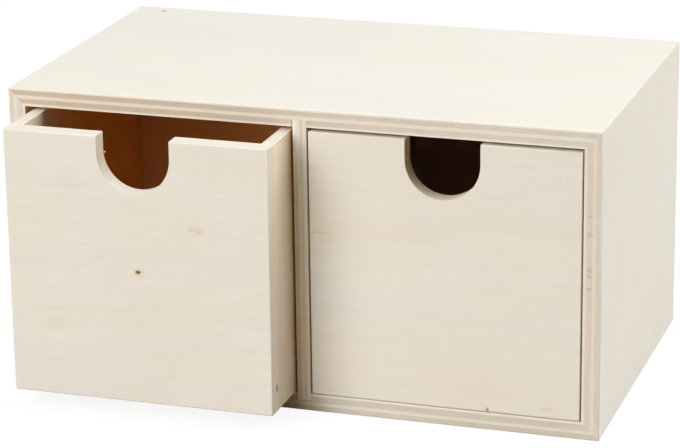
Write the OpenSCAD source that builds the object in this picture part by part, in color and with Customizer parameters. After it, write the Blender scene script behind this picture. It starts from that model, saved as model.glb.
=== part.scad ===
// Two-drawer plywood desktop cabinet: a mitred carcass with a centre divider,
// and two lift-out drawers with a finger notch in each front.
// Millimetres. +X is to the right, +Y to the back, +Z up.
// The origin is the centre of the cabinet's underside.

/* [Cabinet] */
// Outside width of the cabinet
cabinet_w = 260; // [220:1:320]
// Outside depth of the cabinet
cabinet_d = 153; // [130:1:200]
// Outside height of the cabinet
cabinet_h = 133.5; // [110:0.5:160]
// How far the divider stands to the right of the middle
divider_shift = 1.25; // [-3:0.05:3]
// How far the back panel is set in from the rear edges
back_inset = 4; // [2:0.5:10]

/* [Plywood] */
// Thickness of the carcass boards and the drawer fronts
thick_ply = 7.7; // [7:0.1:10]
// Thickness of the divider
divider_ply = 6; // [5:0.1:8]
// Thickness of the drawer sides, the drawer backs and the cabinet back
thin_ply = 5.5; // [5:0.1:7]
// Thickness of the drawer bottoms
bottom_ply = 3; // [2.5:0.1:4]

/* [Joints] */
// Depth of the divider's grooves in the top and the bottom
divider_groove = 3; // [2:0.1:4.5]
// Play beside the divider in its grooves
divider_play = 0.35; // [0.1:0.05:0.5]
// Depth of the grooves that hold the cabinet back
back_groove = 3; // [2:0.1:4]
// Depth of the grooves that hold a drawer's bottom
bottom_groove = 2.5; // [1.5:0.1:3.5]
// Wood left below a drawer's bottom
bottom_lift = 3.5; // [2:0.1:6]
// Radius of the sanded outside edges
edge_round = 0.7; // [0.4:0.1:1.2]

/* [Drawers] */
// Gap between a drawer and the divider
side_gap = 0.55; // [0.4:0.05:2]
// How much wider that gap is at the left drawer
left_shift = 0.25; // [0:0.05:0.3]
// Gap above a drawer
top_gap = 1.6; // [0.6:0.1:3]
// Gap below a drawer
under_gap = 0.2; // [0.2:0.1:1.5]
// Gap behind a closed drawer
rear_gap = 0.5; // [0.3:0.1:4]
// How far the left drawer stands out at rest
left_out = 29.5; // [0:0.5:100]

/* [Finger notches] */
// Width of a notch
notch_w = 32.2; // [24:0.2:40]
// How far a notch is cut to the left of the drawer's middle
notch_offset = 0.45; // [-2:0.05:2]
// Depth of the left drawer's notch
left_notch = 24; // [21:0.1:32]
// Depth of the right drawer's notch
right_notch = 25; // [21:0.1:32]

/* [Brads] */
// Diameter of a brad's shank
brad_d = 1.2; // [1:0.1:1.4]
// Diameter of a brad's head
brad_head_d = 2; // [1.6:0.1:2.4]
// Thickness of a brad's head
brad_head_t = 0.5; // [0.3:0.1:0.8]
// Length of a brad
brad_l = 16; // [12:1:18]
// How far a brad's head is set below the surface
brad_sink = 0.2; // [0.1:0.1:0.4]
// Distance of the cabinet's brads from its sides
brad_inset = 14; // [12:1:30]

/* [Hidden] */
$fn = 64;
CARCASS_COLOUR = [0.93, 0.88, 0.78];
FRONT_COLOUR = [0.90, 0.84, 0.74];
SIDE_COLOUR = [0.84, 0.75, 0.61];
BOTTOM_COLOUR = [0.80, 0.69, 0.53];
BRAD_COLOUR = [0.42, 0.40, 0.38];

// How far a cutting solid runs past what it cuts
OVER = 1;
// How far the hole above a brad's head runs past the head
HOLE_PLAY = 0.05;

// The cabinet's outer faces
left_x = -cabinet_w / 2;
right_x = cabinet_w / 2;
front_y = -cabinet_d / 2;
rear_y = cabinet_d / 2;

// The faces that the drawers run between
floor_z = thick_ply;
ceiling_z = cabinet_h - thick_ply;
divider_left = divider_shift - divider_ply / 2;
divider_right = divider_shift + divider_ply / 2;
back_front_y = rear_y - back_inset - thin_ply;
brad_y = back_front_y + thin_ply / 2;

// The two drawers are alike outside, and fit the narrower bay
narrow_bay = cabinet_w / 2 - thick_ply - divider_ply / 2 - abs(divider_shift);
drawer_w = narrow_bay - 2 * side_gap;
drawer_l = back_front_y - front_y - rear_gap;
drawer_top = ceiling_z - top_gap;
drawer_low = floor_z + under_gap;
panel_bottom = drawer_low + bottom_lift;
left_drawer_x = divider_left - side_gap - left_shift - drawer_w;
right_drawer_x = divider_right + side_gap;

// A block between its lowest and highest corners
module block(low, high) {
    translate(low)
        cube(high - low);
}

// A rectangle whose corners are rounded to radius r
module eased_rectangle(low, high, r) {
    translate([low[0] + r, low[1]])
        square([high[0] - low[0] - 2 * r, high[1] - low[1]]);
    translate([low[0], low[1] + r])
        square([high[0] - low[0], high[1] - low[1] - 2 * r]);
    for (x = [low[0] + r, high[0] - r], y = [low[1] + r, high[1] - r])
        translate([x, y])
            circle(r);
}

// A bar along Y whose long edges are rounded
module eased_bar(low, high, r) {
    translate([0, high[1], 0])
        rotate([90, 0, 0])
            linear_extrude(high[1] - low[1])
                eased_rectangle([low[0], low[2]], [high[0], high[2]], r);
}

// A bar along X whose long edges are rounded
module eased_beam(low, high, r) {
    translate([low[0], 0, 0])
        rotate([90, 0, 90])
            linear_extrude(high[0] - low[0])
                eased_rectangle([low[1], low[2]], [high[1], high[2]], r);
}

// A post along Z whose long edges are rounded
module eased_post(low, high, r) {
    translate([0, 0, low[2]])
        linear_extrude(high[2] - low[2])
            eased_rectangle([low[0], low[1]], [high[0], high[1]], r);
}

// A block whose twelve edges are all rounded
module eased_block(low, high, r) {
    intersection() {
        eased_bar(low, high, r);
        eased_beam(low, high, r);
        eased_post(low, high, r);
    }
}

// One board of the mitred carcass, given its outline seen from the front
module carcass_board(outline) {
    intersection() {
        eased_block([left_x, front_y, 0], [right_x, rear_y, cabinet_h], edge_round);
        translate([0, rear_y + OVER, 0])
            rotate([90, 0, 0])
                linear_extrude(cabinet_d + 2 * OVER)
                    polygon(outline);
    }
}

// The top board's outline; its slanted ends are the mitres
module top_board() {
    carcass_board([
        [left_x - OVER, cabinet_h + OVER],
        [right_x + OVER, cabinet_h + OVER],
        [right_x - thick_ply, ceiling_z],
        [left_x + thick_ply, ceiling_z]
    ]);
}

module bottom_board() {
    carcass_board([
        [left_x - OVER, -OVER],
        [right_x + OVER, -OVER],
        [right_x - thick_ply, floor_z],
        [left_x + thick_ply, floor_z]
    ]);
}

// A side board; toward is -1 on the left and 1 on the right
module side_board(toward) {
    carcass_board([
        [toward * (right_x + OVER), -OVER],
        [toward * (right_x + OVER), cabinet_h + OVER],
        [toward * (right_x - thick_ply), ceiling_z],
        [toward * (right_x - thick_ply), floor_z]
    ]);
}

// The divider, or with play the cut for its grooves; it is pressed to the right
module divider_solid(play = 0) {
    block([divider_left - play, front_y - play, floor_z - divider_groove],
          [divider_right, back_front_y, ceiling_z + divider_groove]);
}

module back_solid() {
    block([left_x + thick_ply - back_groove, back_front_y, floor_z - back_groove],
          [right_x - thick_ply + back_groove, back_front_y + thin_ply, ceiling_z + back_groove]);
}

module cabinet_top() {
    color(CARCASS_COLOUR)
        difference() {
            top_board();
            divider_solid(divider_play);
            back_solid();
            at_top_brads()
                head_hole();
        }
}

module cabinet_bottom() {
    color(CARCASS_COLOUR)
        difference() {
            bottom_board();
            divider_solid(divider_play);
            back_solid();
            at_bottom_brads()
                head_hole();
        }
}

module cabinet_left_side() {
    color(CARCASS_COLOUR)
        difference() {
            side_board(-1);
            back_solid();
        }
}

module cabinet_right_side() {
    color(CARCASS_COLOUR)
        difference() {
            side_board(1);
            back_solid();
        }
}

module cabinet_divider() {
    color(SIDE_COLOUR)
        divider_solid();
}

module cabinet_back() {
    color(SIDE_COLOUR)
        back_solid();
}

// A brad driven along -Z through a surface at the origin, its head just below the surface
module brad() {
    translate([0, 0, -brad_sink - brad_head_t])
        cylinder(h = brad_head_t, d = brad_head_d);
    translate([0, 0, -brad_sink - brad_l])
        cylinder(h = brad_l, d = brad_d);
}

// The shallow hole above a brad's head, in a surface at the origin
module head_hole() {
    translate([0, 0, -brad_sink - HOLE_PLAY])
        cylinder(h = brad_sink + HOLE_PLAY + OVER, d = brad_head_d + 4 * HOLE_PLAY);
}

// Places its children where a brad enters the top
module at_top_brads() {
    translate([left_x + brad_inset, brad_y, cabinet_h])
        children();
}

// Places its children where the brads enter the bottom
module at_bottom_brads() {
    for (x = [left_x + brad_inset, right_x - brad_inset])
        translate([x, brad_y, 0])
            rotate([180, 0, 0])
                children();
}

// Brads through the top and the bottom into the cabinet back
module cabinet_brads() {
    color(BRAD_COLOUR) {
        at_top_brads()
            brad();
        at_bottom_brads()
            brad();
    }
}

// The U-shaped cut for a finger, from the drawer's top edge down
module finger_notch(middle_x, face_y, depth) {
    r = notch_w / 2;
    arc_z = drawer_top - depth + r;
    translate([middle_x, face_y + thick_ply + OVER, arc_z])
        rotate([90, 0, 0])
            cylinder(h = thick_ply + 2 * OVER, r = r);
    block([middle_x - r, face_y - OVER, arc_z],
          [middle_x + r, face_y + thick_ply + OVER, drawer_top + OVER]);
}

// The bottom panel of a drawer whose front left corner is at x, y
module drawer_bottom_solid(x, y) {
    block([x + thin_ply - bottom_groove, y + thick_ply - bottom_groove, panel_bottom],
          [x + drawer_w - thin_ply + bottom_groove,
           y + drawer_l - thin_ply + bottom_groove,
           panel_bottom + bottom_ply]);
}

// The front board, flush with the outsides of the drawer's sides
module drawer_front(x, y, notch_depth) {
    difference() {
        eased_block([x, y, drawer_low],
                    [x + drawer_w, y + thick_ply + edge_round, drawer_top],
                    edge_round);
        block([x - OVER, y + thick_ply, drawer_low - OVER],
              [x + drawer_w + OVER, y + thick_ply + edge_round + OVER, drawer_top + OVER]);
        finger_notch(x + drawer_w / 2 - notch_offset, y, notch_depth);
        drawer_bottom_solid(x, y);
    }
}

// Places its children where the brads enter a drawer's side, the left (-1) or the right (1)
module at_side_brads(x, y, side) {
    drawer_h = drawer_top - drawer_low;
    outside_x = side < 0 ? x : x + drawer_w;
    row_y = y + drawer_l - thin_ply / 2;
    for (part = [0.2, 0.5, 0.8])
        translate([outside_x, row_y, drawer_low + part * drawer_h])
            rotate([0, 90 * side, 0])
                children();
}

// The left (-1) or the right (1) side board, which butts against the back of the front
module drawer_side(x, y, side) {
    x_side = side < 0 ? x : x + drawer_w - thin_ply;
    difference() {
        eased_bar([x_side, y + thick_ply, drawer_low],
                  [x_side + thin_ply, y + drawer_l, drawer_top],
                  edge_round);
        drawer_bottom_solid(x, y);
        at_side_brads(x, y, side)
            head_hole();
    }
}

// The back board, between the two sides
module drawer_back(x, y) {
    difference() {
        eased_beam([x + thin_ply, y + drawer_l - thin_ply, drawer_low],
                   [x + drawer_w - thin_ply, y + drawer_l, drawer_top],
                   edge_round);
        drawer_bottom_solid(x, y);
    }
}

// Brads through the sides into the ends of the drawer's back
module drawer_brads(x, y) {
    for (side = [-1, 1])
        at_side_brads(x, y, side)
            brad();
}

module left_drawer_front() {
    color(FRONT_COLOUR)
        drawer_front(left_drawer_x, front_y - left_out, left_notch);
}

module left_drawer_left_side() {
    color(SIDE_COLOUR)
        drawer_side(left_drawer_x, front_y - left_out, -1);
}

module left_drawer_right_side() {
    color(SIDE_COLOUR)
        drawer_side(left_drawer_x, front_y - left_out, 1);
}

module left_drawer_back() {
    color(SIDE_COLOUR)
        drawer_back(left_drawer_x, front_y - left_out);
}

module left_drawer_bottom() {
    color(BOTTOM_COLOUR)
        drawer_bottom_solid(left_drawer_x, front_y - left_out);
}

module left_drawer_brads() {
    color(BRAD_COLOUR)
        drawer_brads(left_drawer_x, front_y - left_out);
}

module right_drawer_front() {
    color(FRONT_COLOUR)
        drawer_front(right_drawer_x, front_y, right_notch);
}

module right_drawer_left_side() {
    color(SIDE_COLOUR)
        drawer_side(right_drawer_x, front_y, -1);
}

module right_drawer_right_side() {
    color(SIDE_COLOUR)
        drawer_side(right_drawer_x, front_y, 1);
}

module right_drawer_back() {
    color(SIDE_COLOUR)
        drawer_back(right_drawer_x, front_y);
}

module right_drawer_bottom() {
    color(BOTTOM_COLOUR)
        drawer_bottom_solid(right_drawer_x, front_y);
}

module right_drawer_brads() {
    color(BRAD_COLOUR)
        drawer_brads(right_drawer_x, front_y);
}

cabinet_top();
cabinet_bottom();
cabinet_left_side();
cabinet_right_side();
cabinet_divider();
cabinet_back();
cabinet_brads();
left_drawer_front();
left_drawer_left_side();
left_drawer_right_side();
left_drawer_back();
left_drawer_bottom();
left_drawer_brads();
right_drawer_front();
right_drawer_left_side();
right_drawer_right_side();
right_drawer_back();
right_drawer_bottom();
right_drawer_brads();
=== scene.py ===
"""Looks of a two-drawer desktop cabinet of sanded, unfinished plywood.

The CAD boards are shown as they are, with lightly broken edges and procedural plywood. Lengths in
this file are millimetres, and become metres where Blender needs them.
"""
import math

import bmesh
import bpy
from mathutils import Matrix, Vector


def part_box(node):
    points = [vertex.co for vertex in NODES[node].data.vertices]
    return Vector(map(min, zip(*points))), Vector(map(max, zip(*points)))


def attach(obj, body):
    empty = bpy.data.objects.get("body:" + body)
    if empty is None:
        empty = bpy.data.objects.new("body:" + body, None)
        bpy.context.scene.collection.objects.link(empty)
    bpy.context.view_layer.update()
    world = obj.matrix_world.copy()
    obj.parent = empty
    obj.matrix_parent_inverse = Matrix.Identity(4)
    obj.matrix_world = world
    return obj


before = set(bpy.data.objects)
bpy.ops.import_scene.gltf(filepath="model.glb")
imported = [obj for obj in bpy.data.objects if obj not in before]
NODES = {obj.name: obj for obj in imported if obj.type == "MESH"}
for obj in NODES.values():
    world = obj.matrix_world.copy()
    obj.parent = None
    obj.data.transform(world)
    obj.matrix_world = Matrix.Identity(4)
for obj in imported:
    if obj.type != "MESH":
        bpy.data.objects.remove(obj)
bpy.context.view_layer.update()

MM = 0.001
X, Y, Z = 0, 1, 2

# ---------------------------------------------------------------- sizes read from the frame


def box_mm(node):
    """The lowest and highest corner of a CAD node in millimetres."""
    low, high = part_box(node)
    return low / MM, high / MM


CABINET_FRONT = box_mm("cabinet_right_side")[0].y
CABINET_TOP = box_mm("cabinet_top")[1].z
LEFT_LOW, LEFT_HIGH = box_mm("left_drawer_front")
RIGHT_LOW, RIGHT_HIGH = box_mm("right_drawer_front")
FRONTS_TOP = LEFT_HIGH.z
# The finger notches: half their width, and their middles, a little left of the fronts' own
NOTCH_HALF, NOTCH_SHIFT = 16.1, -0.45
LEFT_NOTCH = (LEFT_LOW.x + LEFT_HIGH.x) / 2 + NOTCH_SHIFT
RIGHT_NOTCH = (RIGHT_LOW.x + RIGHT_HIGH.x) / 2 + NOTCH_SHIFT

# ---------------------------------------------------------------- the plywood stocks
# Plies from the outside in: face veneer, cross ply, core, cross ply, inner veneer
TOP_STOCK = (0.95, 2.10, 1.50, 2.10, 1.05)
BASE_STOCK = (0.55, 2.10, 1.45, 2.60, 1.00)
SIDE_STOCK = (0.60, 1.90, 1.45, 2.40, 1.35)
FRONT_STOCK = (0.95, 1.95, 1.85, 1.95, 1.00)
DIVIDER_STOCK = (0.70, 1.50, 0.90, 1.30, 1.60)
THIN_STOCK = (0.90, 1.00, 1.60, 1.10, 0.90)
BOTTOM_STOCK = (0.80, 1.40, 0.80)

# Face and edge colours, as linear albedo
TOP_FACE, SIDE_FACE = (0.845, 0.800, 0.710), (0.800, 0.778, 0.717)
CARCASS_EDGE, BASE_EDGE = (0.825, 0.750, 0.650), (0.870, 0.805, 0.700)
FRONT_FACE, FRONT_EDGE = (0.853, 0.805, 0.716), (0.770, 0.705, 0.605)
THIN_FACE, THIN_EDGE = (0.720, 0.630, 0.485), (0.800, 0.730, 0.620)
DIVIDER_EDGE = (0.765, 0.667, 0.522)
# The sawn walls of the two notches: where they stand upright, and where they face up, painted
# paler as painted light; the shut drawer's walls painted warmer and darker as painted shade
LEFT_NOTCH_WALL_PAINTED_LIGHT = (0.720, 0.625, 0.485), (0.900, 0.845, 0.755)
RIGHT_NOTCH_WALL_PAINTED_LIGHT_AND_SHADE = (0.745, 0.560, 0.365), (0.945, 0.800, 0.640)
# What the cross plies multiply the edge colour by
STRONG_PLIES, TOP_RIGHT_PLIES = (0.80, 0.745, 0.70), (0.90, 0.865, 0.855)
MIDDLE_PLIES = (0.865, 0.855, 0.845)
DIVIDER_PLIES = (0.92, 0.90, 0.90)
SIDE_PLIES = (0.965, 0.940, 0.945)
PALE_PLIES = (0.87, 0.885, 0.88)
FAINT_PLIES = (0.955, 0.945, 0.93)
# The inner veneer of the carcass boards and the drawer fronts, cut clean and pale
LINING, FRONT_LINING = (1.10, 1.095, 1.085), (1.14, 1.12, 1.09)
# Painted shade: what the wood is multiplied by deep inside, warm as light that has bounced many
# times: in the open drawer and its bay, on that drawer's sides and its back, on the divider's
# left face, and the same in the shut drawer and on its sides
OPEN_PAINTED_SHADE, OPEN_WALL_PAINTED_SHADE = (1.15, 0.88, 0.36), (1.40, 0.74, 0.21)
BAY_PAINTED_SHADE = (1.35, 0.55, 0.15)
SHUT_PAINTED_SHADE, SHUT_WALL_PAINTED_SHADE = (1.10, 0.92, 0.90), (0.98, 0.73, 0.55)
# No albedo goes above this, however strong its tints
WHITEST = (0.96, 0.96, 0.96)

# How far each pattern in a face moves its tone, and the hues that it drifts between, at figure 1
DRIFT, BANDS, FIBRES, STREAKS = 0.020, 0.006, 0.022, 0.015
WARM_DRIFT, COOL_DRIFT = (0.003, -0.007, -0.020), (-0.006, 0.002, 0.010)
# How much the plies' places wander in a cut edge
PLY_WAVE = 0.22
# The cross plies' contrast that is left on a drawer front's sawn notch and top edge
SAWN_CONTRAST = 0.15
DULL_SHINE = 0.12


# ---------------------------------------------------------------- shader building blocks


def axis_vector(axis, size=1.0):
    return tuple(size if i == axis else 0.0 for i in range(3))


def along(axis, length, across):
    """Noise sizes: length along one axis, across along the other two."""
    return tuple(length if i == axis else across for i in range(3))


class Graph:
    """A material's node tree, with one short call for each kind of node."""

    def __init__(self, name):
        self.material = bpy.data.materials.new(name)
        self.material.use_nodes = True
        self.tree = self.material.node_tree
        self.tree.nodes.clear()

    def node(self, kind, inputs=(), **settings):
        made = self.tree.nodes.new(kind)
        for name, value in settings.items():
            setattr(made, name, value)
        for socket, value in dict(inputs).items():
            self.feed(made.inputs[socket], value)
        return made

    def feed(self, socket, value):
        if isinstance(value, bpy.types.NodeSocket):
            self.tree.links.new(value, socket)
        elif socket.type == "RGBA" and len(value) == 3:
            socket.default_value = (*value, 1)
        else:
            socket.default_value = value

    def place(self):
        """The point on the board, in millimetres."""
        return self.scale(self.node("ShaderNodeTexCoord").outputs["Object"], 1 / MM)

    def normal(self):
        return self.node("ShaderNodeTexCoord").outputs["Normal"]

    def math(self, operation, a, b=0.0, c=0.0):
        made = self.node("ShaderNodeMath", operation=operation)
        for socket, value in zip(made.inputs, (a, b, c)):
            self.feed(socket, value)
        return made.outputs[0]

    def times(self, a, b):
        return self.math("MULTIPLY", a, b)

    def vector(self, operation, a, b=(0, 0, 0)):
        made = self.node("ShaderNodeVectorMath", operation=operation)
        self.feed(made.inputs[0], a)
        self.feed(made.inputs[1], b)
        return made.outputs[1 if operation in ("LENGTH", "DOT_PRODUCT") else 0]

    def part(self, vector, axis, sign=1.0):
        """A place's coordinate on an axis, or how much a normal faces along it."""
        return self.vector("DOT_PRODUCT", vector, axis_vector(axis, sign))

    def either_way(self, normal, axis):
        """How much a normal faces along an axis, forwards or backwards."""
        return self.math("ABSOLUTE", self.part(normal, axis))

    def span(self, value, low, high, to_low=0.0, to_high=1.0, smooth=True):
        """value between low and high, taken to between to_low and to_high."""
        made = self.node(
            "ShaderNodeMapRange",
            {"Value": value, "From Min": low, "From Max": high,
             "To Min": to_low, "To Max": to_high},
            interpolation_type="SMOOTHSTEP" if smooth else "LINEAR",
        )
        return made.outputs["Result"]

    def level(self, noise, to_low, to_high, edge=0.2):
        """Noise, which keeps within edge of its ends, taken to between to_low and to_high."""
        return self.span(noise, edge, 1 - edge, to_low, to_high, smooth=False)

    def swing(self, noise, amount, edge=0.2):
        """Noise taken to between -amount and amount."""
        return self.level(noise, -amount, amount, edge)

    def mix(self, factor, a, b):
        """Colour a at factor 0 and b at 1."""
        made = self.node("ShaderNodeMix", data_type="RGBA", blend_type="MIX")
        for socket, value in zip((0, 6, 7), (factor, a, b)):
            self.feed(made.inputs[socket], value)
        return made.outputs[2]

    def tint(self, colour, by, factor=1.0):
        """colour multiplied by another colour."""
        made = self.node("ShaderNodeMix", data_type="RGBA", blend_type="MULTIPLY")
        for socket, value in zip((0, 6, 7), (factor, colour, by)):
            self.feed(made.inputs[socket], value)
        return made.outputs[2]

    def scale(self, vector, value):
        """A colour or a place multiplied by a number."""
        made = self.node("ShaderNodeVectorMath", operation="SCALE")
        self.feed(made.inputs[0], vector)
        self.feed(made.inputs["Scale"], value)
        return made.outputs[0]

    def noise(self, place, sizes, detail=2.0, roughness=0.5, shift=0.0, distortion=0.0):
        """Noise from 0 to 1 whose blotches are about sizes long, in mm, along X, Y and Z."""
        moved = self.vector("ADD", place, (shift, shift * 1.7, shift * 0.6))
        stretched = self.vector("MULTIPLY", moved, tuple(1 / size for size in sizes))
        made = self.node(
            "ShaderNodeTexNoise",
            {"Vector": stretched, "Scale": 1.0, "Detail": detail, "Roughness": roughness,
             "Distortion": distortion},
        )
        return made.outputs["Fac"]

    def surface(self, inputs):
        """The finished material, with one Principled shader."""
        shader = self.node("ShaderNodeBsdfPrincipled", inputs)
        self.node("ShaderNodeOutputMaterial", {"Surface": shader.outputs["BSDF"]})
        return self.material


# ---------------------------------------------------------------- plywood


class Board:
    """How one CAD board was cut from its plywood.

    face and edge are the colours of its faces and of its cut edges, and stock its plies. thick
    is the axis through the plies, outer the place of the outer face on it in mm, inward 1 or -1,
    and grain the axis of the face grain. The cross plies run along the third axis, and plies is
    their tint, or a pair of tints for the left and the right. deep names the faces that take the
    painted shade ("inner", "both", "notch" for the inner face and the notch of a drawer front,
    or None), figure how strong the grain shows, lining the tint of the inner veneer's edge, and
    marks adds spots, stains and painted light and shade.
    """

    def __init__(self, node, face, edge, stock, thick, inward, grain, plies, deep="inner",
                 figure=1.0, lining=None, marks=None):
        self.node, self.face, self.edge, self.stock = node, face, edge, stock
        self.thick, self.inward, self.grain = thick, inward, grain
        self.plies, self.deep, self.figure = plies, deep, figure
        self.lining, self.marks = lining, marks
        low, high = box_mm(node)
        self.outer = low[thick] if inward > 0 else high[thick]


def is_left_front(board):
    return board.node == "left_drawer_front"


def ply_ramp(graph, depth, stock):
    """1 in the cross plies, 0 in veneers and core, by depth below the outer face."""
    total = sum(stock)
    ramp = graph.node("ShaderNodeValToRGB", {"Fac": graph.math("DIVIDE", depth, total)})
    blur = 0.10 / total
    stops, edge = [(0.0, 0.0)], 0.0
    for i, thickness in enumerate(stock[:-1]):
        edge += thickness / total
        stops += [(edge - blur, float(i % 2)), (edge + blur, float((i + 1) % 2))]
    elements = ramp.color_ramp.elements
    while len(elements) > 1:
        elements.remove(elements[0])
    for i, (position, value) in enumerate(stops):
        element = elements[0] if i == 0 else elements.new(position)
        element.position = position
        element.color = (value, value, value, 1)
    return ramp.outputs["Color"]


def figured(g, place, board, seed, colour, fibres, streaks):
    """The face's colour with slow drifts of tone and hue, growth bands and fine fibres."""
    grain, figure = board.grain, board.figure
    drift = g.noise(place, along(grain, 120, 34), shift=seed * 3.1)
    hue = g.noise(place, along(grain, 70, 22), shift=seed * 5.3)
    bent = g.noise(place, along(grain, 90, 16), shift=seed * 7.7, distortion=0.6)
    bands = g.math("SINE", g.times(bent, 60.0))
    tone = g.math("ADD", 1.0, g.swing(drift, DRIFT * figure, edge=0.25))
    tone = g.math("MULTIPLY_ADD", bands, BANDS * figure, tone)
    tone = g.math("ADD", tone, g.swing(fibres, FIBRES * figure))
    tone = g.math("ADD", tone, g.swing(streaks, STREAKS * figure, edge=0.25))
    warm, cool = (tuple(1 + k * figure for k in drifts) for drifts in (WARM_DRIFT, COOL_DRIFT))
    return g.scale(g.tint(colour, g.mix(g.span(hue, 0.35, 0.65), warm, cool)), tone)


def sawn_notch(g, place, normal, board, colour, in_cross):
    """A drawer front's colour and ply mask with its sawn notch and top edge, cut clean."""
    wall = notch_wall(g, place, normal, board)
    upright, upward = LEFT_NOTCH_WALL_PAINTED_LIGHT if is_left_front(board) else RIGHT_NOTCH_WALL_PAINTED_LIGHT_AND_SHADE
    # Painted light and shade: the notch walls take their upright or upward colour by which way
    # they face
    sawn = g.mix(g.span(g.part(normal, Z), 0.1, 0.9), upright, upward)
    clean = g.math("MAXIMUM", wall, top_edge(g, place))
    contrast = g.span(clean, 0, 1, 1.0, SAWN_CONTRAST, smooth=False)
    return g.mix(wall, colour, sawn), g.times(in_cross, contrast)


def cross_plies(g, place, board, seed, face):
    """The wood of the cross plies, streaked by the saw."""
    cross = X + Y + Z - board.thick - board.grain
    fibres = g.noise(place, along(cross, 20, 0.5), detail=3.0, roughness=0.65, shift=seed)
    streaks = g.noise(place, along(board.thick, 1.6, 7.0), detail=4.0, shift=seed * 4.1)
    tone = g.times(g.level(fibres, 0.93, 1.05), g.level(streaks, 0.955, 1.04, edge=0.3))
    plies = board.plies
    if isinstance(plies[0], tuple):
        plies = g.mix(g.span(g.part(place, X), -60, 60), *plies)
    return g.scale(g.tint(face, plies), tone)


def end_grain(g, normal, board, in_cross):
    """1 where a ply is cut across its own grain, 0 along it."""
    cross = X + Y + Z - board.thick - board.grain
    to_grain, to_cross = g.either_way(normal, board.grain), g.either_way(normal, cross)
    ends = g.math("ADD", g.times(to_grain, g.math("SUBTRACT", 1.0, in_cross)),
                  g.times(to_cross, in_cross))
    return g.span(ends, 0.4, 0.95)


def plywood(board, seed):
    g = Graph(board.node + "_wood")
    place, normal = g.place(), g.normal()
    flat = g.either_way(normal, board.thick)
    fibres = g.noise(place, along(board.grain, 26, 0.55), detail=3.0, roughness=0.6, shift=seed)
    streaks = g.noise(place, along(board.grain, 60, 2.2), shift=seed * 2.3)
    pores = g.noise(place, (0.45, 0.45, 0.45), shift=seed * 9.1)

    # How deep in the board, with plies that wave a little
    raw = g.math("MULTIPLY_ADD", g.part(place, board.thick), board.inward,
                 -board.outer * board.inward)
    wave = g.noise(place, (26, 26, 26), detail=3.0, shift=seed)
    depth = g.math("ADD", raw, g.swing(wave, PLY_WAVE))
    in_cross = ply_ramp(g, depth, board.stock)

    colour = g.mix(g.span(flat, 0.55, 0.85), board.edge, board.face)
    if board.deep == "notch":
        colour, in_cross = sawn_notch(g, place, normal, board, colour, in_cross)
    face = figured(g, place, board, seed, colour, fibres, streaks)
    wood = g.mix(in_cross, face, cross_plies(g, place, board, seed, face))
    end = end_grain(g, normal, board, in_cross)
    wood = g.mix(end, wood, g.scale(wood, g.level(pores, 0.93, 1.0, edge=0.3)))
    if board.lining:
        inner = sum(board.stock[:-1])
        at_edge = g.times(g.span(depth, inner + 0.25, inner + 0.6), g.span(flat, 0.6, 0.3))
        wood = g.tint(wood, board.lining, at_edge)
    if board.marks:
        wood = board.marks(g, place, wood)
    # Painted shade on the hidden faces inside the cabinet
    if board.deep:
        wood = deep_shade(g, place, wood, normal, board)

    # Sanded fibres: rougher at end grain, with a fine relief
    relief = g.math("MULTIPLY_ADD", fibres, 0.6, g.times(streaks, 0.4))
    relief = g.math("MULTIPLY_ADD", g.times(pores, end), 0.8, relief)
    bump = g.node("ShaderNodeBump", {"Strength": 0.35, "Distance": 0.05 * MM, "Height": relief})
    roughness = g.math("ADD", g.level(fibres, 0.60, 0.74), g.times(end, 0.15))
    return g.surface({"Base Color": wood, "Roughness": roughness, "Normal": bump.outputs["Normal"],
                      "Specular IOR Level": DULL_SHINE})


def hemmed_in(g, reach, free, tight):
    """0 where other wood within reach mm leaves the share free of the sky open, 1 at tight."""
    sky = g.node("ShaderNodeAmbientOcclusion", {"Distance": reach * MM}, samples=8)
    return g.span(sky.outputs["AO"], free, tight)


def deep_shade(g, place, wood, normal, board):
    """Painted shade: wood tinted warm where little light reaches, on the faces inside the cabinet.
    """
    shade = hemmed_in(g, 150, 0.17, 0.05)
    facing = g.part(normal, board.thick, board.inward)
    if board.deep == "both":
        facing = g.math("ABSOLUTE", facing)
    hidden = g.span(facing, 0.5, 0.9)
    if board.deep == "notch":
        hidden = g.math("MAXIMUM", hidden, notch_wall(g, place, normal, board))
    deep = g.mix(g.times(shade, hidden), wood, g.tint(wood, painted_shade_tint(g, place, board)))
    return g.vector("MINIMUM", deep, WHITEST)


def painted_shade_tint(g, place, board):
    """The painted shade tint that a board's hidden faces take; carcass boards take that of the bay
    they face.
    """
    if board.node.startswith("left_drawer"):
        return OPEN_WALL_PAINTED_SHADE if board.node.endswith(("side", "back")) else OPEN_PAINTED_SHADE
    if board.node.startswith("right_drawer"):
        return SHUT_WALL_PAINTED_SHADE if board.node.endswith("side") else SHUT_PAINTED_SHADE
    left_bay = BAY_PAINTED_SHADE if board.node == "cabinet_divider" else OPEN_PAINTED_SHADE
    middle = (LEFT_HIGH.x + RIGHT_LOW.x) / 2
    return g.mix(g.span(g.part(place, X), middle - 1, middle + 1), left_bay, SHUT_PAINTED_SHADE)


# ---------------------------------------------------------------- where on a board
# Each gives 1 on the named place and 0 elsewhere


def notch_wall(g, place, normal, board):
    """The walls of a drawer front's finger notch."""
    middle = LEFT_NOTCH if is_left_front(board) else RIGHT_NOTCH
    from_middle = g.math("ABSOLUTE", g.math("SUBTRACT", g.part(place, X), middle))
    inside = g.times(g.span(from_middle, NOTCH_HALF + 0.9, NOTCH_HALF + 0.4),
                     g.span(g.part(place, Z), FRONTS_TOP - 0.6, FRONTS_TOP - 0.9))
    return g.times(inside, g.span(g.either_way(normal, board.thick), 0.6, 0.3))


def top_edge(g, place):
    """The sawn top edge of a drawer front."""
    return g.span(g.part(place, Z), FRONTS_TOP - 0.25, FRONTS_TOP - 0.1)


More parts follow.
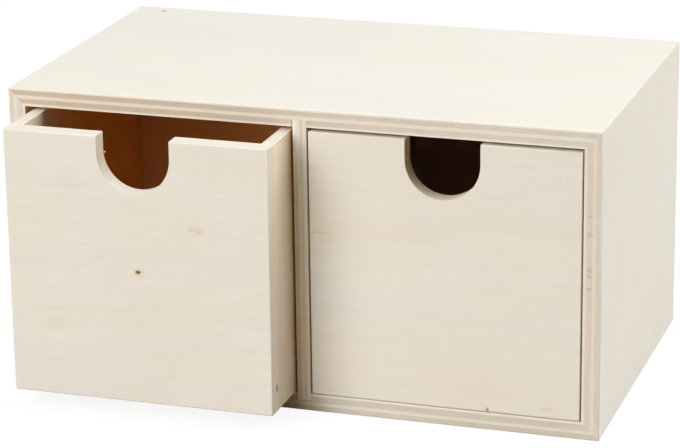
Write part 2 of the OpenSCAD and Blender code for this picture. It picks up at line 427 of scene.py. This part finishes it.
def front_edge(g, place):
    """The cabinet boards' cut edges in front."""
    return g.span(g.part(place, Y), CABINET_FRONT + 1.2, CABINET_FRONT + 0.4)


# ---------------------------------------------------------------- wood marks, painted light and shade
COOL, PINKISH, GREYER = (0.985, 0.995, 1.03), (0.985, 0.955, 0.945), (0.98, 0.975, 0.96)
# How much of a spot's radius its rim fades over
SOFT, HARD = 0.9, 0.55
# Bands of other-coloured grain: middle height, half width, slope, tint, strength, noise shift
LEFT_BANDS = (
    (41.7, 8.0, 0.13, COOL, 0.9, 5.0),
    (56.5, 2.2, 0.10, GREYER, 0.7, 6.0),
    (41.0, 2.2, 0.43, (0.99, 0.98, 0.945), 0.5, 9.0),
)
RIGHT_BANDS = (
    (82.0, 7.0, 0.08, (0.99, 0.968, 0.943), 0.7, 3.0),
    (52.0, 9.0, -0.03, COOL, 0.5, 7.0),
)
# Spots on a front's outer face: x, z, radii, tint, strength, softness
LEFT_SPOTS = (
    (-92, 101.5, (15, 9, 9), PINKISH, 0.8, SOFT),
    (-99.0, 39.8, (11, 4, 5), (0.985, 0.945, 0.895), 0.7, SOFT),
    # The pin knot with its halo
    (-60.9, 66.2, (3.6, 3.0, 2.4), (0.98, 0.88, 0.70), 0.75, HARD),
    (-60.9, 66.2, (1.5, 1.5, 1.0), (0.26, 0.15, 0.09), 1.0, HARD),
    # The pale double knot
    (-34.7, 86.9, (6.5, 3.0, 3.5), (0.96, 0.915, 0.845), 0.8, SOFT),
    (-36.2, 86.7, (1.6, 1.5, 1.0), (0.85, 0.78, 0.68), 0.7, 0.8),
    (-33.2, 86.3, (1.6, 1.5, 1.0), (0.85, 0.78, 0.68), 0.7, 0.8),
)
RIGHT_SPOTS = (
    (75, 17, (38, 9, 10), PINKISH, 0.55, SOFT),
    (96.0, 116.2, (4.5, 2, 2.2), PINKISH, 1.0, SOFT),
    (100.8, 116.0, (2.8, 2, 1.6), PINKISH, 1.0, SOFT),
    (87.7, 101.8, (13, 2, 1.7), PINKISH, 0.6, SOFT),
    (53.0, 99.7, (9, 2, 1.5), PINKISH, 0.5, SOFT),
    (112.5, 111.7, (1.0, 1.0, 0.9), (0.92, 0.89, 0.85), 0.7, HARD),
    # The brown streak at the left end
    (9.5, 80.5, (5.5, 1.5, 0.55), (0.90, 0.80, 0.66), 0.7, HARD),
    (13.0, 78.0, (6.0, 2.0, 1.8), (0.98, 0.95, 0.88), 0.5, SOFT),
    # The yellow double knot at the lower right
    (108.0, 10.8, (3.5, 1.5, 2.4), (0.99, 0.96, 0.86), 0.8, HARD),
    (106.6, 11.8, (1.3, 1.0, 0.95), (0.91, 0.89, 0.73), 0.8, HARD),
    (109.2, 11.8, (1.3, 1.0, 0.95), (0.91, 0.89, 0.73), 0.8, HARD),
)
# Olive dashes in the right side's front edge: x, z, half height
OLIVE_DASHES = ((124.9, 97.5, 0.9), (124.8, 89.6, 1.7), (124.9, 74.5, 1.9), (124.9, 71.8, 1.0),
                (124.8, 66.4, 1.2))


def spot(g, place, colour, centre, radii, stain, strength=1.0, ragged=0.35, soft=HARD):
    """A stain at centre with radii in mm along X, Y and Z; its colour multiplies the wood."""
    away = g.vector("MULTIPLY", g.vector("SUBTRACT", place, centre), tuple(1 / r for r in radii))
    rough = g.noise(place, tuple(max(r * 0.6, 0.4) for r in radii), detail=3.0)
    distance = g.math("ADD", g.vector("LENGTH", away), g.swing(rough, ragged))
    inside = g.times(g.span(distance, 1.0, 1.0 - soft), strength)
    return g.mix(inside, colour, g.tint(colour, stain))


def grain_band(g, place, colour, middle, half, slope, stain, strength, shift):
    """A soft band of other-coloured grain along X, at height middle and climbing by slope."""
    upright = g.vector("DOT_PRODUCT", place, (-slope, 0.0, 1.0))
    wander = g.noise(place, (45, 45, 12), shift=shift)
    height = g.math("ADD", upright, g.swing(wander, half * 0.7))
    away = g.math("ABSOLUTE", g.math("SUBTRACT", height, middle))
    return g.mix(g.times(g.span(away, half, half * 0.3), strength), colour, g.tint(colour, stain))


def front_marks_and_painted_light(g, place, colour, face, bands, spots):
    """A drawer front whose outer face is at face mm: painted light, paler low down, and a painted
    highlight on its clean top edge; with its grain bands and spots.
    """
    across = g.vector("DOT_PRODUCT", place, (0.25, 0, -1))
    # Painted light: darker towards the top, paler low down
    colour = g.scale(colour, g.span(across, -135, 5, 0.958, 1.022))
    # Painted highlight on the up-facing top edge
    colour = g.tint(colour, (1.12, 1.14, 1.15), top_edge(g, place))
    for band in bands:
        colour = grain_band(g, place, colour, *band)
    for x, z, radii, stain, strength, soft in spots:
        colour = spot(g, place, colour, (x, face, z), radii, stain, strength, soft=soft)
    return colour


def left_front_marks_and_painted_light(g, place, colour):
    face = LEFT_LOW.y
    colour = front_marks_and_painted_light(g, place, colour, face, LEFT_BANDS, LEFT_SPOTS)
    # The sawn left wall of the notch, darker along its middle plies
    colour = spot(g, place, colour, (LEFT_NOTCH - NOTCH_HALF, face + 1.9, 114.5), (1.2, 1.7, 8.5),
                  (0.90, 0.885, 0.83), 0.85, ragged=0.5, soft=0.8)
    # The dark break in the core at the right end
    return spot(g, place, colour, (-3.0, -100.0, 18.2), (1.3, 1.5, 2.6), (0.42, 0.28, 0.17), 0.95)


def right_front_marks_painted_light_and_shade(g, place, colour):
    face = RIGHT_LOW.y
    colour = front_marks_and_painted_light(g, place, colour, face, RIGHT_BANDS, RIGHT_SPOTS)
    # Painted shade: the right end face darkened brown where the gap beside it is narrow
    end = g.span(g.part(g.normal(), X), 0.5, 0.9)
    colour = g.tint(colour, (0.68, 0.56, 0.42), g.times(end, hemmed_in(g, 6, 0.6, 0.3)))
    # The chip in the bottom edge
    return spot(g, place, colour, (82.1, face, 8.85), (0.85, 1.6, 1.5), (0.50, 0.42, 0.33), 0.9,
                ragged=0.2, soft=0.4)


def right_side_dashes_and_painted_light(g, place, colour):
    """Short olive dashes in the front edge's inner cross ply; the whole board is painted paler
    below and darker at the top, as painted light.
    """
    for x, z, half in OLIVE_DASHES:
        colour = spot(g, place, colour, (x, CABINET_FRONT, z), (1.7, 1.5, half),
                      (0.87, 0.80, 0.60), 0.8, soft=0.7)
    # Painted light: paler low down, darker at the top
    return g.scale(colour, g.span(g.part(place, Z), 10, 128, 1.028, 0.972, smooth=False))


def drawer_side_painted_light_and_shade(front, outward):
    """The painted light and shade of a drawer side behind a front at front mm; outward is -1 or 1
    along X.
    """

    def marks(g, place, colour):
        """Painted light, paler near the front and the top; painted shade, yellower and darker
        outside where it runs into the cabinet.
        """
        behind = g.math("SUBTRACT", g.part(place, Y), front)
        wander = g.noise(place, (30, 40, 25), shift=4.0)
        behind = g.math("ADD", behind, g.swing(wander, 2))
        height = g.part(place, Z)
        # Painted light near the front and the top
        pale = g.times(g.span(behind, 20, 5), g.span(height, 35, 95))
        colour = g.tint(colour, (1.09, 1.12, 1.17), pale)
        # Painted shade, warmer and darker, on the outer face where it runs into the cabinet
        outside = g.span(g.part(g.normal(), X, outward), 0.5, 0.9)
        near = g.times(g.times(outside, g.span(behind, 42, 34)), hemmed_in(g, 25, 0.93, 0.68))
        deep = g.times(g.span(behind, 15, 30), g.span(height, -60, 100))
        colour = g.tint(colour, (0.86, 0.80, 0.70), g.times(deep, near))
        return g.tint(colour, (0.92, 0.72, 0.48), g.times(g.span(behind, 24, 31), near))

    return marks


def top_marks(g, place, colour):
    """The top's cut edges, warmer towards the left end and paler towards the right end."""
    along_x = g.part(place, X)
    below_face = g.span(g.part(place, Z), CABINET_TOP - 0.2, CABINET_TOP - 0.6)
    colour = g.tint(colour, (0.985, 0.96, 0.915), g.times(g.span(along_x, 25, -25), below_face))
    return g.tint(colour, (1.015, 1.05, 1.08), g.times(g.span(along_x, 40, 110), below_face))


def bottom_painted_shade(g, place, colour):
    """Painted shade: the bottom's cut front edge, browner where it runs in under an open left
    drawer.
    """
    # Painted shade under the open left drawer
    under = g.times(g.span(g.part(place, X), 16, 4), hemmed_in(g, 25, 0.60, 0.38))
    return g.tint(colour, (0.62, 0.50, 0.36), g.times(under, front_edge(g, place)))


def divider_painted_light(g, place, colour):
    """Painted light: the divider's front edge, paler and greyer near the top, most of all at its
    left.
    """
    # Painted light near the top
    pale = g.times(g.span(g.part(place, Z), 92, 122), front_edge(g, place))
    colour = g.tint(colour, (1.02, 1.07, 1.16), pale)
    # Painted highlight on the left strip near the top
    left_strip = g.span(g.part(place, X), 1.2, -0.4)
    return g.tint(colour, (1.25, 1.32, 1.38), g.times(pale, left_strip))


# ---------------------------------------------------------------- the boards
BROKEN_EDGE = 0.12


def all_boards():
    boards = [
        Board("cabinet_top", TOP_FACE, CARCASS_EDGE, TOP_STOCK, Z, -1, X,
              (STRONG_PLIES, TOP_RIGHT_PLIES), figure=0.6, lining=LINING, marks=top_marks),
        Board("cabinet_bottom", TOP_FACE, BASE_EDGE, BASE_STOCK, Z, 1, X, MIDDLE_PLIES,
              deep=None, lining=LINING, marks=bottom_painted_shade),
        Board("cabinet_left_side", SIDE_FACE, CARCASS_EDGE, SIDE_STOCK, X, 1, Z, SIDE_PLIES,
              figure=0.5, lining=LINING),
        Board("cabinet_right_side", SIDE_FACE, CARCASS_EDGE, SIDE_STOCK, X, -1, Z, SIDE_PLIES,
              figure=0.4, lining=LINING, marks=right_side_dashes_and_painted_light),
        Board("cabinet_divider", THIN_FACE, DIVIDER_EDGE, DIVIDER_STOCK, X, 1, Z, DIVIDER_PLIES,
              deep="both", marks=divider_painted_light),
        Board("cabinet_back", THIN_FACE, THIN_EDGE, THIN_STOCK, Y, -1, X, PALE_PLIES),
    ]
    for side, marks, low, figure in (("left", left_front_marks_and_painted_light, LEFT_LOW, 0.95),
                                     ("right", right_front_marks_painted_light_and_shade, RIGHT_LOW, 0.8)):
        drawer = side + "_drawer_"
        boards += [
            Board(drawer + "front", FRONT_FACE, FRONT_EDGE, FRONT_STOCK, Y, 1, X, FAINT_PLIES,
                  deep="notch", figure=figure, lining=FRONT_LINING, marks=marks),
            Board(drawer + "left_side", THIN_FACE, THIN_EDGE, THIN_STOCK, X, 1, Y, FAINT_PLIES,
                  marks=drawer_side_painted_light_and_shade(low.y, -1)),
            Board(drawer + "right_side", THIN_FACE, THIN_EDGE, THIN_STOCK, X, -1, Y, FAINT_PLIES,
                  marks=drawer_side_painted_light_and_shade(low.y, 1)),
            Board(drawer + "back", THIN_FACE, THIN_EDGE, THIN_STOCK, Y, -1, X, FAINT_PLIES),
            Board(drawer + "bottom", THIN_FACE, THIN_EDGE, BOTTOM_STOCK, Z, 1, Y, FAINT_PLIES),
        ]
    return boards


def add_object(name, data):
    made = bpy.data.objects.new(name, data)
    bpy.context.scene.collection.objects.link(made)
    return made


def only_material(piece, material):
    piece.data.materials.clear()
    piece.data.materials.append(material)


def soften_edges(piece, width):
    """Breaks the sharp edges of a CAD board by width mm; its mesh stays as packed."""
    weld = piece.modifiers.new("weld", "WELD")
    weld.merge_threshold = 0.002 * MM
    flat = piece.modifiers.new("merge_flats", "DECIMATE")
    flat.decimate_type = "DISSOLVE"
    flat.angle_limit = math.radians(0.5)
    bevel = piece.modifiers.new("broken_edges", "BEVEL")
    bevel.width = width * MM
    bevel.segments = 2
    bevel.limit_method = "ANGLE"
    bevel.angle_limit = math.radians(40)


for number, board in enumerate(all_boards()):
    only_material(NODES[board.node], plywood(board, seed=11.3 * (number + 1)))
    soften_edges(NODES[board.node], BROKEN_EDGE)

# ---------------------------------------------------------------- steel brads


def brad_steel():
    g = Graph("brad_steel")
    spots = g.noise(g.place(), (0.6, 0.6, 0.6), detail=3.0)
    return g.surface({"Base Color": g.mix(spots, (0.10, 0.08, 0.065), (0.22, 0.20, 0.17)),
                      "Roughness": g.level(spots, 0.35, 0.6), "Metallic": 0.8})


STEEL = brad_steel()
for node in ("cabinet_brads", "left_drawer_brads", "right_drawer_brads"):
    only_material(NODES[node], STEEL)

# ---------------------------------------------------------------- the notch's splinter
# Along the splinter: how far, how wide, how thick and how much it curls, as parts of its size
SPLINTER_RINGS = ((0.0, 1.0, 0.30, 0.0), (0.35, 0.85, 0.26, 0.10), (0.70, 0.50, 0.18, 0.12),
                  (1.0, 0.12, 0.08, 0.02))


def pale_fibre():
    """The torn, fuzzy veneer of a splinter."""
    g = Graph("splinter_wood")
    strands = g.noise(g.place(), (0.25, 0.25, 0.7), detail=3.0)
    return g.surface({"Base Color": g.mix(strands, (0.96, 0.86, 0.77), (0.90, 0.76, 0.64)),
                      "Roughness": g.span(strands, 0.2, 0.8, 0.7, 0.85),
                      "Specular IOR Level": DULL_SHINE})


def splinter(root, tip, width, drawer):
    """A thin sliver of veneer that curls out of a cut edge, from root to tip in mm."""
    start, end = Vector(root) * MM, Vector(tip) * MM
    length = end - start
    flat = length.normalized().cross(Vector((0, 1, 0)))
    mesh = bmesh.new()
    rings = []
    for part, wide, thick, lift in SPLINTER_RINGS:
        middle = start + length * part + flat * lift * length.length
        across, deep = flat * wide * width * MM / 2, Vector((0, thick * width * MM, 0))
        rings.append([mesh.verts.new(middle + a * across + b * deep)
                      for a, b in ((-1, -1), (1, -1), (1, 1), (-1, 1))])
    for low, high in zip(rings, rings[1:]):
        for i in range(4):
            mesh.faces.new((low[i], low[(i + 1) % 4], high[(i + 1) % 4], high[i]))
    mesh.faces.new(rings[0][::-1])
    mesh.faces.new(rings[-1])
    bmesh.ops.recalc_face_normals(mesh, faces=mesh.faces)
    data = bpy.data.meshes.new("notch_splinter")
    mesh.to_mesh(data)
    mesh.free()
    piece = add_object("notch_splinter", data)
    only_material(piece, pale_fibre())
    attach(piece, drawer)


WALL_X, WALL_Y = LEFT_NOTCH - NOTCH_HALF, LEFT_HIGH.y - 0.4
splinter((WALL_X - 0.1, WALL_Y, 114.5), (WALL_X + 1.35, WALL_Y, 115.7), 0.85, "left_drawer")

# ---------------------------------------------------------------- floor, world, lamps and camera
FLOOR_HALF = 6.0
# The floor's colour as the object sees it; the camera sees white light and a share of the shadow
FLOOR_ALBEDO, SHADOW_ALBEDO = (0.40, 0.33, 0.25), (0.98, 0.98, 0.98)
WHITE_LIGHT, SHADOW_SHARE = 1.04, 0.14
SKY_COLOUR, SKY_STRENGTH = (0.76, 0.88, 1.0), 0.10
# Square lamps that face the cabinet from 2 m: name, azimuth (0 in front and 90 on the right) and
# elevation in degrees, side in metres, and surface brightness
AIM, LAMP_DISTANCE = Vector((0.0, -0.02, 0.065)), 2.0
LAMPS = (
    ("key_box", -20, 38, 1.2, 3.30),
    ("wide_key_box", -25, 28, 1.6, 2.93),
    ("right_box", 108, 38, 1.3, 6.03),
    ("low_right_box", 100, 15, 1.0, 1.59),
    ("back_right_box", 140, 40, 1.2, 0.23),
    ("top_box", -150, 70, 1.5, 0.82),
)
# The camera: a long lens in front, to the right and above. Its optical centre is in pixels
CAMERA_PLACE = Vector((367.0, -1133.0, 446.1)) * MM
CAMERA_AZIMUTH, CAMERA_ELEVATION, CAMERA_ROLL = (math.radians(a) for a in (17.58, 17.84, -0.61))
IMAGE_W, IMAGE_H = 680, 448
FOCAL_PX, CENTRE_X, CENTRE_Y = 2807.5, 371.6, 217.0
SENSOR_WIDTH = 36.0


def studio_floor():
    """A wide pale floor: white to the camera, with the object's soft shadow on it."""
    mesh = bpy.data.meshes.new("floor")
    half = FLOOR_HALF
    mesh.from_pydata([(-half, -half, 0), (half, -half, 0), (half, half, 0), (-half, half, 0)], [],
                     [(0, 1, 2, 3)])
    floor = add_object("floor", mesh)
    g = Graph("floor_white")
    rays = g.node("ShaderNodeLightPath").outputs
    seen = g.math("MAXIMUM", rays["Is Camera Ray"],
                  g.math("MAXIMUM", rays["Is Glossy Ray"], rays["Is Transmission Ray"]))
    matt = g.node("ShaderNodeBsdfDiffuse", {"Color": FLOOR_ALBEDO})
    white = g.node("ShaderNodeEmission", {"Color": (1, 1, 1), "Strength": WHITE_LIGHT})
    bright = g.node("ShaderNodeBsdfDiffuse", {"Color": SHADOW_ALBEDO})
    shown = g.node("ShaderNodeMixShader",
                   {"Fac": SHADOW_SHARE, 1: white.outputs[0], 2: bright.outputs[0]})
    either = g.node("ShaderNodeMixShader", {"Fac": seen, 1: matt.outputs[0], 2: shown.outputs[0]})
    g.node("ShaderNodeOutputMaterial", {"Surface": either.outputs[0]})
    only_material(floor, g.material)


def studio_world():
    """A faint sky that lights the object, and white where the camera looks past the floor."""
    world = bpy.data.worlds.new("studio")
    bpy.context.scene.world = world
    world.use_nodes = True
    tree = world.node_tree
    tree.nodes.clear()
    rays = tree.nodes.new("ShaderNodeLightPath").outputs
    seen = tree.nodes.new("ShaderNodeMath")
    seen.operation = "MAXIMUM"
    either = tree.nodes.new("ShaderNodeMixShader")
    out = tree.nodes.new("ShaderNodeOutputWorld")
    for slot, colour, strength in ((1, SKY_COLOUR, SKY_STRENGTH), (2, (1, 1, 1), 1.0)):
        light = tree.nodes.new("ShaderNodeBackground")
        light.inputs["Color"].default_value = (*colour, 1)
        light.inputs["Strength"].default_value = strength
        tree.links.new(light.outputs[0], either.inputs[slot])
    tree.links.new(rays["Is Camera Ray"], seen.inputs[0])
    tree.links.new(rays["Is Transmission Ray"], seen.inputs[1])
    tree.links.new(seen.outputs[0], either.inputs["Fac"])
    tree.links.new(either.outputs[0], out.inputs["Surface"])


def direction(azimuth, elevation):
    """The unit vector from the cabinet towards an azimuth and elevation in radians."""
    return Vector((math.sin(azimuth) * math.cos(elevation),
                   -math.cos(azimuth) * math.cos(elevation), math.sin(elevation)))


def softbox(name, azimuth, elevation, size, radiance):
    away = direction(math.radians(azimuth), math.radians(elevation)) * LAMP_DISTANCE
    lamp = bpy.data.lights.new(name, "AREA")
    lamp.shape = "SQUARE"
    lamp.size = size
    lamp.energy = radiance * size * size * math.pi
    holder = add_object(name, lamp)
    holder.location = AIM + away
    holder.rotation_euler = (-away).to_track_quat("-Z", "Y").to_euler()
    holder.visible_camera = False


def studio_camera():
    lens = bpy.data.cameras.new("camera")
    lens.sensor_width = SENSOR_WIDTH
    lens.lens = FOCAL_PX * SENSOR_WIDTH / IMAGE_W
    lens.shift_x = (IMAGE_W / 2 - CENTRE_X) / IMAGE_W
    lens.shift_y = (CENTRE_Y - IMAGE_H / 2) / IMAGE_W
    lens.clip_start, lens.clip_end = 0.01, 50.0
    camera = add_object("camera", lens)
    forward = -direction(CAMERA_AZIMUTH, CAMERA_ELEVATION)
    level = forward.cross(Vector((0, 0, 1))).normalized()
    upward = level.cross(forward)
    right = level * math.cos(CAMERA_ROLL) + upward * math.sin(CAMERA_ROLL)
    up = right.cross(forward)
    turn = Matrix((right, up, -forward)).transposed()
    camera.matrix_world = Matrix.Translation(CAMERA_PLACE) @ turn.to_4x4()
    bpy.context.scene.camera = camera


studio_floor()
studio_world()
for lamp_row in LAMPS:
    softbox(*lamp_row)
studio_camera()
bpy.context.scene.view_settings.view_transform = "Standard"
